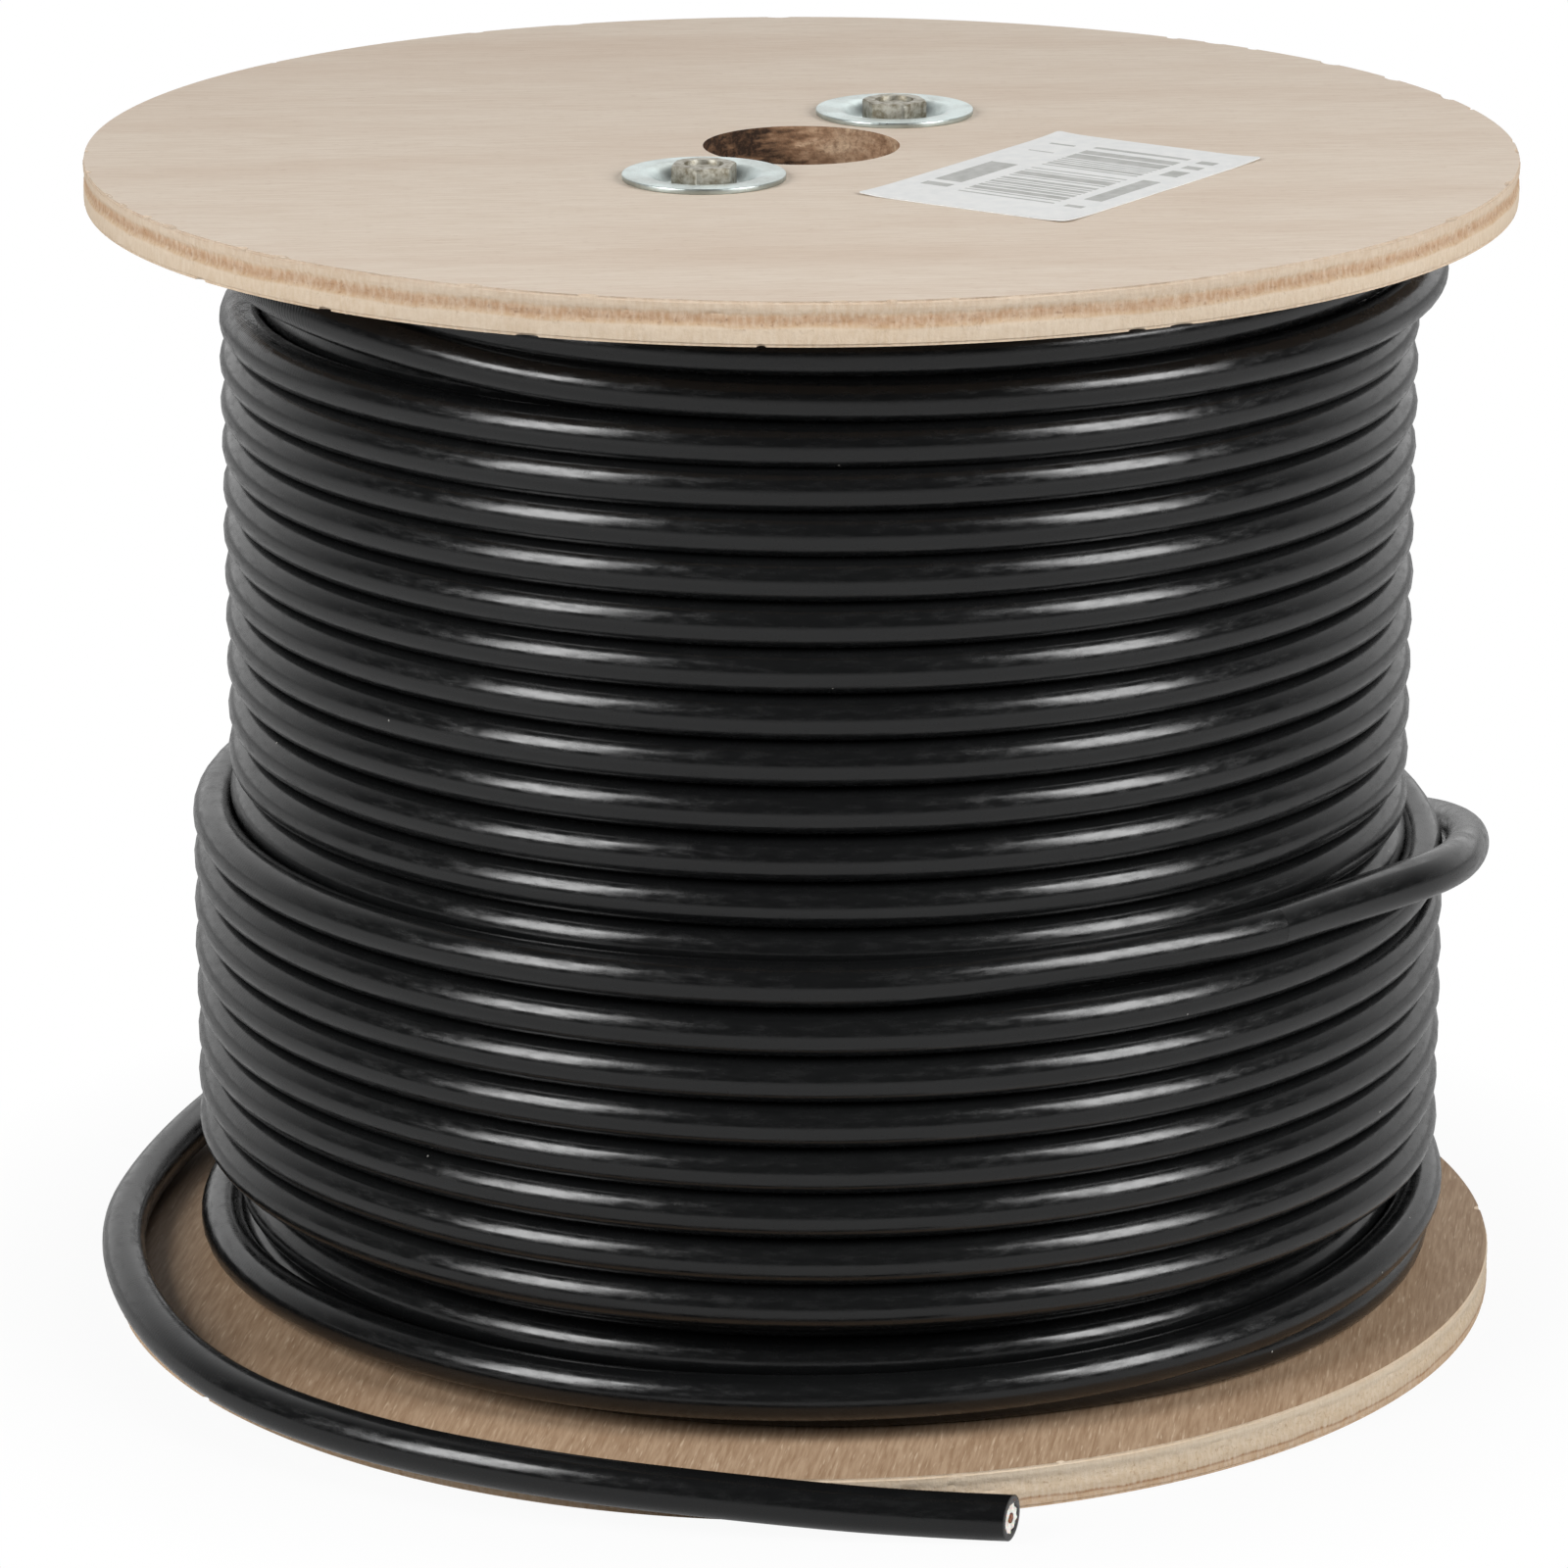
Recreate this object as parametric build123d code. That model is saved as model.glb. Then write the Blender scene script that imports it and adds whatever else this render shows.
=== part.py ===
from build123d import *
from math import cos, floor, pi, radians, sin, sqrt
import os

# A reel of coaxial cable standing on one flange: two plywood flanges are
# clamped on a hollow barrel by two long bolts, and black cable is wound on the
# barrel. Its outermost turn has come loose and lies round the bottom flange.
# Millimetres, +Z up. The origin is the centre of the bottom flange's underside.

# Drum
flange_diameter = 320.0
flange_thickness = 9.5
flange_rim_round = 0.6
drum_height = 264.5
arbor_bore_diameter = 44.0
barrel_diameter = 163.0
barrel_wall = 6.0
barrel_offset_x = 4.0

# Clamping bolts, their nuts and their dished washers
bolt_diameter = 8.0
bolt_circle_radius = 42.5
bolt_angles = {"a": 60.0, "b": 240.0}
hex_across_flats = 13.0
nut_height = 6.8
bolt_head_height = 5.3
nut_bore_clearance = 0.05
nut_corner_bevel = 0.7
bolt_end_below_nut_top = 0.8
bolt_end_chamfer = 0.8
washer_diameter = 36.0
washer_sheet = 1.3
washer_cup_depth = 3.5
washer_cup_mouth_diameter = 23.0
washer_cup_floor_diameter = 19.0
washer_hole_clearance = 0.25
cup_hole_clearance = 0.4
bottom_recess_depth = 2.0
bottom_recess_clearance = 0.3

# Cable and its layers, from the jacket to the centre conductor
cable_diameter = 9.9
braid_diameter = 8.1
dielectric_diameter = 7.25
conductor_diameter = 2.26
cut_end_depth = 12.0

# Winding
barrel_clearance = 0.3
bottom_turn_clearance = 0.35
full_layers = 6
low_turn_slack = 0.4
high_turn_slack = 0.0
low_turns = 11
loose_turn_gaps = (0, 2, 3, 4, 5, 6, 7, 8)
lifting_turn_gap = 9
lifting_turn_start_angle = 118.0
lifting_turn_end_angle = 315.0
groove_fill = 1.5

# Label on the top flange
label_length = 82.0
label_width = 53.0
label_thickness = 0.2
label_centre = (57.0, -35.0)
label_angle = 56.0

# Free end of the cable after the lifting turn: a straight start, then points by hand
tail_first_run = 29.0
tail_points = [
    (144.2, -54.6, 112.2),
    (153.6, -22.0, 107.2),
    (155.2, 12.5, 101.4),
    (147.5, 50.5, 93.0),
    (124.5, 93.0, 82.0),
    (86.5, 128.5, 70.5),
    (36.0, 149.5, 59.0),
    (-17.5, 151.5, 47.5),
    (-69.5, 135.5, 36.0),
    (-111.5, 104.0, 24.5),
    (-140.5, 60.5, 16.2),
    (-155.6, 16.0, 14.6),
    (-160.4, -27.0, 15.0),
    (-151.2, -72.0, 12.9),
    (-126.6, -109.4, 10.6),
    (-94.0, -138.5, 9.9),
    (-54.0, -158.5, 9.9),
    (-12.0, -167.0, 8.2),
    (22.0, -168.4, 5.3),
    (45.0, -170.5, 5.2),
]
arc_share_of_run = 0.45

# Sizes that follow from the ones above
flange_radius = flange_diameter / 2
cable_radius = cable_diameter / 2
barrel_bottom = flange_thickness
barrel_top = drum_height - flange_thickness
top_flange_bottom = barrel_top
layer_step = cable_diameter * sqrt(3) / 2
first_layer_radius = barrel_diameter / 2 + barrel_clearance + cable_radius
last_layer_radius = first_layer_radius + (full_layers - 1) * layer_step
loose_layer_radius = last_layer_radius + layer_step
lowest_turn_height = flange_thickness + cable_radius + bottom_turn_clearance
highest_turn_height = barrel_top - cable_radius


def turn_height(turn: float) -> float:
    """Height of the centre of a turn, counted from the lowest one as 0."""
    low_pitch = cable_diameter + low_turn_slack
    high_pitch = cable_diameter + high_turn_slack
    return lowest_turn_height + min(turn, low_turns) * low_pitch + max(turn - low_turns, 0) * high_pitch


room_above_low_turns = highest_turn_height - turn_height(low_turns)
turns_per_layer = low_turns + 1 + floor(room_above_low_turns / (cable_diameter + high_turn_slack))


def save(shape, node: str) -> None:
    """Write one sub-part to its own STEP file."""
    export_step(shape, f"parts/{node}.step")


def on_bolt_circle(angle: float) -> tuple[float, float]:
    """Plan position of a bolt from its angle about the drum's axis."""
    return (bolt_circle_radius * cos(radians(angle)), bolt_circle_radius * sin(radians(angle)))


def on_winding(radius: float, angle: float, height: float) -> tuple[float, float, float]:
    """Point on a circle about the winding's own axis."""
    x = barrel_offset_x + radius * cos(radians(angle))
    return (x, radius * sin(radians(angle)), height)


def turned(outline: list[tuple[float, float]]):
    """Solid turned about Z from a closed outline of radius and height points."""
    return revolve(Plane.XZ * make_face(Polyline(*outline, close=True)), Axis.Z)


def upright_cylinder(radius: float, bottom: float, top: float):
    """Cylinder about Z between two heights."""
    return Pos(0, 0, bottom) * Cylinder(radius, top - bottom, align=(Align.CENTER, Align.CENTER, Align.MIN))


def hexagon(bottom: float, height: float):
    """Hexagonal prism with its upper and lower corners bevelled as on a nut or bolt head."""
    prism = Pos(0, 0, bottom) * extrude(
        RegularPolygon(hex_across_flats / 2, 6, major_radius=False), amount=height
    )
    corner = hex_across_flats / sqrt(3)
    crown = turned([
        (0, bottom),
        (corner - nut_corner_bevel, bottom),
        (corner, bottom + nut_corner_bevel / 2),
        (corner, bottom + height - nut_corner_bevel / 2),
        (corner - nut_corner_bevel, bottom + height),
        (0, bottom + height),
    ])
    return prism & crown


def flange():
    """Round plywood board, underside at z = 0, with the arbor bore and the two holes for the cups."""
    board = upright_cylinder(flange_radius, 0, flange_thickness)
    board = fillet(board.edges().filter_by(GeomType.CIRCLE), flange_rim_round)
    board -= upright_cylinder(arbor_bore_diameter / 2, 0, flange_thickness)
    cup_hole_radius = washer_cup_mouth_diameter / 2 + washer_sheet + cup_hole_clearance
    for angle in bolt_angles.values():
        board -= Pos(*on_bolt_circle(angle)) * upright_cylinder(cup_hole_radius, 0, flange_thickness)
    return board


def top_flange():
    """Upper flange, plain on both faces."""
    return Pos(0, 0, top_flange_bottom) * flange()


def bottom_flange():
    """Lower flange, with a recess under each washer so that the underside stands flat."""
    board = flange()
    recess_radius = washer_diameter / 2 + bottom_recess_clearance
    for angle in bolt_angles.values():
        board -= Pos(*on_bolt_circle(angle)) * upright_cylinder(recess_radius, 0, bottom_recess_depth)
    return board


def barrel():
    """Plain tube between the flanges, a little off their centre."""
    outer = upright_cylinder(barrel_diameter / 2, barrel_bottom, barrel_top)
    inner = upright_cylinder(barrel_diameter / 2 - barrel_wall, barrel_bottom, barrel_top)
    return Pos(barrel_offset_x, 0, 0) * (outer - inner)


def cup_washer():
    """Dished sheet washer: flat rim on z = 0, cup hanging below it with a hole for the bolt."""
    mouth = washer_cup_mouth_diameter / 2
    floor_radius = washer_cup_floor_diameter / 2
    hole = bolt_diameter / 2 + washer_hole_clearance
    cup_floor = -washer_cup_depth
    return turned([
        (washer_diameter / 2, washer_sheet),
        (washer_diameter / 2, 0),
        (mouth + washer_sheet, 0),
        (floor_radius + washer_sheet, cup_floor - washer_sheet),
        (hole, cup_floor - washer_sheet),
        (hole, cup_floor),
        (floor_radius, cup_floor),
        (mouth, washer_sheet),
    ])


def placed_washers() -> dict:
    """The two washers on the top flange and the two let in under the bottom one."""
    washers = {}
    for name, angle in bolt_angles.items():
        place = Pos(*on_bolt_circle(angle))
        washers[f"cup_washer_top_{name}"] = place * Pos(0, 0, drum_height) * cup_washer()
        underside = Pos(0, 0, bottom_recess_depth) * Rot(180, 0, 0) * cup_washer()
        washers[f"cup_washer_bottom_{name}"] = place * underside
    return washers


nut_seat = drum_height - washer_cup_depth
nut_top = nut_seat + nut_height
bolt_head_seat = bottom_recess_depth + washer_cup_depth
bolt_end = nut_top - bolt_end_below_nut_top


def nut():
    """Hexagon nut on the floor of the upper cup, with a plain bore for its thread."""
    bore = upright_cylinder(bolt_diameter / 2 + nut_bore_clearance, nut_seat, nut_top)
    return hexagon(nut_seat, nut_height) - bore


def bolt():
    """Hexagon-headed bolt through the whole drum, head down."""
    shank = upright_cylinder(bolt_diameter / 2, bolt_head_seat, bolt_end)
    shank = chamfer(shank.edges().sort_by(Axis.Z)[-1], bolt_end_chamfer)
    return hexagon(bolt_head_seat - bolt_head_height, bolt_head_height) + shank


def turn_sections(radius: float, heights: list[float]):
    """Round sections of the turns that lie at one radius."""
    return Sketch() + [Pos(radius, height) * Circle(cable_radius) for height in heights]


def block(inner: float, outer: float, low: float, high: float):
    """Filled part of the winding's section between two radii and two heights."""
    return Pos((inner + outer) / 2, (low + high) / 2) * Rectangle(outer - inner, high - low)


def full_layer_section():
    """Section of the full layers: solid core, round turns on its outside and on both ends."""
    inner = barrel_diameter / 2 + barrel_clearance
    nested_low = (turn_height(0) + turn_height(1)) / 2
    nested_high = (turn_height(turns_per_layer - 2) + turn_height(turns_per_layer - 1)) / 2
    end_fill = cable_radius * 0.75
    section = block(inner, last_layer_radius + groove_fill, nested_low - end_fill, nested_high + end_fill)
    section += turn_sections(last_layer_radius, [turn_height(turn) for turn in range(turns_per_layer)])
    for layer in range(full_layers - 1):
        starts_low = (full_layers - 1 - layer) % 2 == 0
        ends = [turn_height(0), turn_height(turns_per_layer - 1)] if starts_low else [nested_low, nested_high]
        section += turn_sections(first_layer_radius + layer * layer_step, ends)
    return section


def gap_height(gap: int) -> float:
    """Height of a turn that lies in the groove above the turn of that number."""
    return turn_height(gap + 0.5)


def loose_layer_section():
    """Section of the outermost turns, which lie in the grooves of the last full layer."""
    heights = [gap_height(gap) for gap in loose_turn_gaps]
    half_web = cable_radius * 0.95
    outer = loose_layer_radius + groove_fill
    single = block(last_layer_radius, outer, heights[0] - half_web, heights[0] + half_web)
    stack = block(last_layer_radius, outer, heights[1] - half_web, heights[-1] + half_web)
    return turn_sections(loose_layer_radius, heights) + single + stack


def lifting_turn_section():
    """Section of the highest outer turn, which leaves the winding part of the way round."""
    height = gap_height(lifting_turn_gap)
    low = gap_height(loose_turn_gaps[-1])
    web = block(last_layer_radius, loose_layer_radius + groove_fill, low, height)
    return turn_sections(loose_layer_radius, [height]) + web


def winding():
    """All turns that stay on the drum, as one solid with its bore."""
    rings = revolve(Plane.XZ * (full_layer_section() + loose_layer_section()), Axis.Z)
    arc = lifting_turn_end_angle - lifting_turn_start_angle
    partial = revolve(Plane.XZ * lifting_turn_section(), Axis.Z, arc)
    return Pos(barrel_offset_x, 0, 0) * (rings + Rot(0, 0, lifting_turn_start_angle) * partial)


def tail_route():
    """Straight runs joined by tangent arcs, from the lifting turn's end to the cut end."""
    start = Vector(*on_winding(loose_layer_radius, lifting_turn_end_angle, gap_height(lifting_turn_gap)))
    tangent = Vector(-sin(radians(lifting_turn_end_angle)), cos(radians(lifting_turn_end_angle)), 0)
    points = [start, start + tangent * tail_first_run] + [Vector(*point) for point in tail_points]
    runs = [after - before for before, after in zip(points, points[1:])]
    radii = []
    for before, after in zip(runs, runs[1:]):
        half_turn = radians(before.get_angle(after)) / 2
        radii.append(arc_share_of_run * min(before.length, after.length) * cos(half_turn) / sin(half_turn))
    print("tail arc radii, mm:", [round(radius) for radius in radii])
    return FilletPolyline(*points, radius=radii)


def tail_parts() -> dict:
    """The free end of the cable and, in its cut end, the layers inside the jacket."""
    route = tail_route()
    start = Plane(origin=route @ 0, z_dir=route % 0)
    tube = sweep(start * Circle(cable_radius), path=route)
    expected = pi * cable_radius**2 * route.length
    print("tail length, mm:", round(route.length, 1), "tube volume over section times length:",
          round(tube.volume / expected, 5))
    end = Plane(origin=route @ 1, z_dir=-(route % 1))
    braid = end * Cylinder(braid_diameter / 2, cut_end_depth, align=(Align.CENTER, Align.CENTER, Align.MIN))
    dielectric = end * Cylinder(
        dielectric_diameter / 2, cut_end_depth, align=(Align.CENTER, Align.CENTER, Align.MIN)
    )
    conductor = end * Cylinder(
        conductor_diameter / 2, cut_end_depth, align=(Align.CENTER, Align.CENTER, Align.MIN)
    )
    return {
        "cable_tail": tube - braid,
        "tail_braid": braid - dielectric,
        "tail_dielectric": dielectric - conductor,
        "tail_conductor": conductor,
    }


def label():
    """Thin paper label stuck on the top flange."""
    sheet = Box(label_length, label_width, label_thickness, align=(Align.CENTER, Align.CENTER, Align.MIN))
    return Pos(*label_centre, drum_height) * Rot(0, 0, label_angle) * sheet


os.makedirs("parts", exist_ok=True)
save(bottom_flange(), "flange_bottom")
save(top_flange(), "flange_top")
save(barrel(), "barrel")
save(winding(), "winding")
for node, shape in tail_parts().items():
    save(shape, node)
for name, angle in bolt_angles.items():
    save(Pos(*on_bolt_circle(angle)) * bolt(), f"bolt_{name}")
    save(Pos(*on_bolt_circle(angle)) * nut(), f"nut_{name}")
for node, shape in placed_washers().items():
    save(shape, node)
save(label(), "label")
print("turns in a full layer:", turns_per_layer, "last layer radius:", round(last_layer_radius, 2))
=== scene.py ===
"""Reel of black coaxial cable on a plywood drum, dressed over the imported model.

Lengths in the classes are millimetres and become metres where meshes are made.
"""

import logging
import math
import random
from collections.abc import Callable
from dataclasses import dataclass, field
from enum import Enum
from functools import partial

import bmesh
import bpy
from mathutils import Matrix, Vector, noise


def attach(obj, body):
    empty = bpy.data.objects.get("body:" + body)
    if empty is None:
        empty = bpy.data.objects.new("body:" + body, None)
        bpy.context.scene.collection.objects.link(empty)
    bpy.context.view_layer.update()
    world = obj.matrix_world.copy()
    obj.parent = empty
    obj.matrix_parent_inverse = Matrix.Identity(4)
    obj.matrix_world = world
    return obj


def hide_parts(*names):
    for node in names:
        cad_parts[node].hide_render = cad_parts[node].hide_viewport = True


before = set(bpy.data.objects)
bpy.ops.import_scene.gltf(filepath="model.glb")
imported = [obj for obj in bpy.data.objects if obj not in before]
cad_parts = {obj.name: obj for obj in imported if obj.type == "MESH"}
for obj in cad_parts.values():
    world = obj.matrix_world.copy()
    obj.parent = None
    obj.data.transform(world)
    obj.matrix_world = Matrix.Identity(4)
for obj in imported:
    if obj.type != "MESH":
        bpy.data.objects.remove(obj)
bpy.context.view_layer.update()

log = logging.getLogger("cable_reel")
Object, Node = bpy.types.Object, bpy.types.Node
Point = tuple[float, float, float]
Pair = tuple[float, float]
AddNode = Callable[..., Node]

DRUM_AXIS_OFFSET = 4.0
DRUM_HEIGHT = 264.5
BOARD_THICKNESS = 9.5
CABLE_RADIUS = 4.95
BOLT_PLACES: tuple[Pair, ...] = ((21.25, 36.806), (-21.25, -36.806))
LABEL_CENTRE: Pair = (57.0, -35.0)
LABEL_TURN = 56.0
NOISE_SEED = 7


class Slot(Enum):
    """Material slots of the record."""

    PLYWOOD = "plywood"
    CARDBOARD = "cardboard"
    JACKET = "cable_jacket"
    BRAID = "copper_braid"
    DIELECTRIC = "dielectric"
    COPPER = "copper"
    STEEL = "steel"
    ZINC = "zinc_plated_steel"
    PAPER = "paper"


# Small helpers


def mm(length: float) -> float:
    """Millimetres to metres."""
    return length / 1000.0


def moved(x: float, y: float, z: float) -> Matrix:
    """Matrix that moves by these millimetres."""
    return Matrix.Translation((mm(x), mm(y), mm(z)))


def turned(degrees: float, axis: str = "Z") -> Matrix:
    """Matrix that turns about an axis."""
    return Matrix.Rotation(math.radians(degrees), 4, axis)


def colour(hex_code: str) -> tuple[float, float, float, float]:
    """Linear colour of an sRGB hex value.

    Args:
        hex_code: six hex digits after a hash sign.

    Returns:
        Red, green, blue and alpha for a colour socket.
    """
    parts = [int(hex_code[i : i + 2], 16) / 255 for i in (1, 3, 5)]
    linear = [p / 12.92 if p <= 0.04045 else ((p + 0.055) / 1.055) ** 2.4 for p in parts]
    return (linear[0], linear[1], linear[2], 1.0)


def deselect() -> None:
    """Leave edit mode and deselect every object."""
    if bpy.context.object and bpy.context.object.mode != "OBJECT":
        bpy.ops.object.mode_set(mode="OBJECT")
    bpy.ops.object.select_all(action="DESELECT")


def pick(*objects: Object) -> None:
    """Select these objects alone and make the first one active."""
    deselect()
    for one in objects:
        one.select_set(True)
    bpy.context.view_layer.objects.active = objects[0]


def settle() -> None:
    """Put the selected objects' places into their meshes."""
    bpy.ops.object.transform_apply(location=True, rotation=True, scale=True)


def new_piece(name: str) -> Object:
    """Name the active object, which has just been made, and settle it.

    Args:
        name: name of the piece and of its mesh.

    Returns:
        The object.
    """
    piece = bpy.context.object
    piece.name = name
    piece.data.name = name
    settle()
    return piece


def cylinder(name: str, radius: float, low: float, high: float, sides: int,
             at: Pair = (0.0, 0.0)) -> Object:
    """Add an upright cylinder between two heights.

    Args:
        name: name of the object.
        radius: its radius.
        low: height of its lower end.
        high: height of its upper end.
        sides: number of its sides.
        at: its place in plan.

    Returns:
        The mesh object.
    """
    deselect()
    bpy.ops.mesh.primitive_cylinder_add(
        vertices=sides, radius=mm(radius), depth=mm(high - low),
        location=(mm(at[0]), mm(at[1]), mm((low + high) / 2)),
    )
    return new_piece(name)


def seat(piece: Object, place: Matrix) -> Object:
    """Put the piece at a place and settle it there.

    Args:
        piece: the object to move.
        place: where its own origin goes, in metres.

    Returns:
        The same object.
    """
    piece.matrix_world = place @ piece.matrix_world
    pick(piece)
    settle()
    return piece


def copied(piece: Object, name: str, place: Matrix) -> Object:
    """A copy of a piece with its own mesh, seated at a place.

    Args:
        piece: the object to copy.
        name: name of the copy.
        place: where the copy goes, in metres.

    Returns:
        The copy.
    """
    pick(piece)
    bpy.ops.object.duplicate(linked=False)
    return seat(new_piece(name), place)


def joined(pieces: list[Object], name: str) -> Object:
    """The pieces as one.

    Args:
        pieces: the objects to join.
        name: name of the whole.

    Returns:
        The joined object.
    """
    pick(*pieces)
    bpy.ops.object.join()
    return new_piece(name)


def discard(*pieces: Object) -> None:
    """Delete pieces that were only patterns for their copies."""
    pick(*pieces)
    bpy.ops.object.delete()


def apply_modifier(piece: Object, kind: str, **settings: object) -> None:
    """Add a modifier with its settings and apply it.

    Args:
        piece: the object that gets it.
        kind: Blender's type of modifier.
        **settings: values set on the modifier.
    """
    pick(piece)
    modifier = piece.modifiers.new(kind.title(), kind)
    for name, value in settings.items():
        setattr(modifier, name, value)
    bpy.ops.object.modifier_apply(modifier=modifier.name)


def cut(piece: Object, tool: Object, operation: str = "DIFFERENCE") -> None:
    """Take a tool's volume out of a piece and delete the tool. A cut that fails is undone.

    Args:
        piece: the object that is cut.
        tool: the object that cuts it.
        operation: DIFFERENCE, or INTERSECT to keep what both share.
    """
    before = piece.data.copy()
    apply_modifier(piece, "BOOLEAN", operation=operation, object=tool, solver="EXACT")
    if not piece.data.vertices:
        log.warning("%s: the cut with %s failed", piece.name, tool.name)
        piece.data = before
    bpy.data.objects.remove(tool)


def select_parts(piece: Object, part: str, wanted: Callable) -> None:
    """Enter edit mode with only the wanted vertices, edges or faces selected.

    Args:
        piece: the mesh object.
        part: VERT, EDGE or FACE.
        wanted: test of one mesh element that says whether it is selected.
    """
    pick(piece)
    bpy.ops.object.mode_set(mode="EDIT")
    bpy.ops.mesh.select_mode(type=part)
    bpy.ops.mesh.select_all(action="DESELECT")
    shape = bmesh.from_edit_mesh(piece.data)
    group = {"VERT": shape.verts, "EDGE": shape.edges, "FACE": shape.faces}[part]
    for element in group:
        if wanted(element):
            element.select = True
    shape.select_flush_mode()
    bmesh.update_edit_mesh(piece.data)


def edit(piece: Object, part: str, wanted: Callable, *steps: Callable) -> None:
    """Run edit operators on the wanted vertices, edges or faces.

    Args:
        piece: the mesh object.
        part: VERT, EDGE or FACE.
        wanted: test of one mesh element that says whether it is selected.
        *steps: operators with their settings, run in order.
    """
    select_parts(piece, part, wanted)
    for step in steps:
        step()
    bpy.ops.object.mode_set(mode="OBJECT")


def faces_up(face: bmesh.types.BMFace) -> bool:
    """Whether a face looks up."""
    return face.normal.z > 0.9


def is_level(edge: bmesh.types.BMEdge) -> bool:
    """Whether an edge is horizontal."""
    return len({round(v.co.z, 6) for v in edge.verts}) == 1


def smooth(piece: Object, degrees: float) -> None:
    """Shade smooth except over edges sharper than an angle."""
    pick(piece)
    bpy.ops.object.shade_smooth_by_angle(angle=math.radians(degrees))


def part_of_object(piece: Object, slot: Slot, *nodes: str) -> None:
    """Tie a finished piece to the frame.

    Args:
        piece: the finished object.
        slot: the record's material slot it is dressed from; it is not used.
        *nodes: CAD nodes that it stands for.
    """
    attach(piece, "root")
    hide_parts(*nodes)
    log.info("%s: %d vertices", piece.name, len(piece.data.vertices))


# Materials


def fill(node: Node, inputs: dict) -> None:
    """Fill or link a node's sockets.

    Args:
        node: the node.
        inputs: socket name or number to a hex colour, another value, a socket, or a node,
            which stands for its first output in use.
    """
    for name, value in inputs.items():
        if isinstance(value, Node):
            value = next(output for output in value.outputs if output.enabled)
        if isinstance(value, bpy.types.NodeSocket):
            node.id_data.links.new(value, node.inputs[name])
        else:
            node.inputs[name].default_value = colour(value) if isinstance(value, str) else value


def add_node(tree: bpy.types.NodeTree, kind: str, inputs: dict | None = None,
             stops: tuple[tuple[float, str], ...] = (), **settings: object) -> Node:
    """Add a node, set its options, and fill or link its sockets.

    Args:
        tree: the material's node tree.
        kind: the node's Blender type without its ShaderNode prefix.
        inputs: what fill() puts in its sockets.
        stops: position and hex colour of each stop of a colour ramp, in order.
        **settings: options set on the node.

    Returns:
        The new node.
    """
    node = tree.nodes.new("ShaderNode" + kind)
    for name, value in settings.items():
        setattr(node, name, value)
    if stops:
        elements = node.color_ramp.elements
        while len(elements) < len(stops):
            elements.new(1.0)
        for element, (position, code) in zip(elements, stops):
            element.position, element.color = position, colour(code)
    fill(node, inputs or {})
    return node


def node_sheet(owner: bpy.types.Material | bpy.types.World) -> AddNode:
    """Start the nodes of a material or world.

    Args:
        owner: the material or world, whose nodes are cleared.

    Returns:
        The function that adds nodes to it.
    """
    owner.use_nodes = True
    owner.node_tree.nodes.clear()
    return partial(add_node, owner.node_tree)


def span(low: float, high: float, to_low: float = 0.0, to_high: float = 1.0) -> dict[str, float]:
    """A range and what it becomes, as a Map Range node's sockets."""
    return {"From Min": low, "From Max": high, "To Min": to_low, "To Max": to_high}


class Finish:
    """A procedural finish. Subclasses fill in build()."""

    name = "finish"

    def material(self) -> bpy.types.Material:
        """The finish's material, made once."""
        made = bpy.data.materials.get(self.name)
        if not made:
            made = bpy.data.materials.new(self.name)
            add = node_sheet(made)
            add("OutputMaterial", {"Surface": add("BsdfPrincipled", self.build(add))})
        return made

    def build(self, add: AddNode) -> dict:
        """Make the finish's nodes.

        Args:
            add: add_node() for the material's tree.

        Returns:
            What goes in the principled surface's sockets.
        """
        raise NotImplementedError

    def dress(self, piece: Object) -> None:
        """Give the piece this finish alone."""
        if piece.data.materials:
            for i in range(len(piece.data.materials)):
                piece.data.materials[i] = self.material()
        else:
            piece.data.materials.append(self.material())

    @staticmethod
    def place(add: AddNode, unit: Point = (1000, 1000, 1000), turn: float = 0.0,
              centre: Point = (0, 0, 0)) -> Node:
        """Object coordinates, centred, turned about Z and scaled.

        Args:
            add: add_node() for the material's tree.
            unit: the length on each axis that becomes 1.
            turn: degrees about Z.
            centre: the point that becomes the origin.

        Returns:
            The node whose output is the coordinates.
        """
        where = add("TexCoord").outputs["Object"]
        centred = add("Mapping", {"Vector": where, "Location": [-mm(c) for c in centre]})
        turned_back = add("Mapping", {"Vector": centred, "Rotation": (0, 0, -math.radians(turn))})
        return add("Mapping", {"Vector": turned_back, "Scale": [1 / mm(u) for u in unit]})


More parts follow.
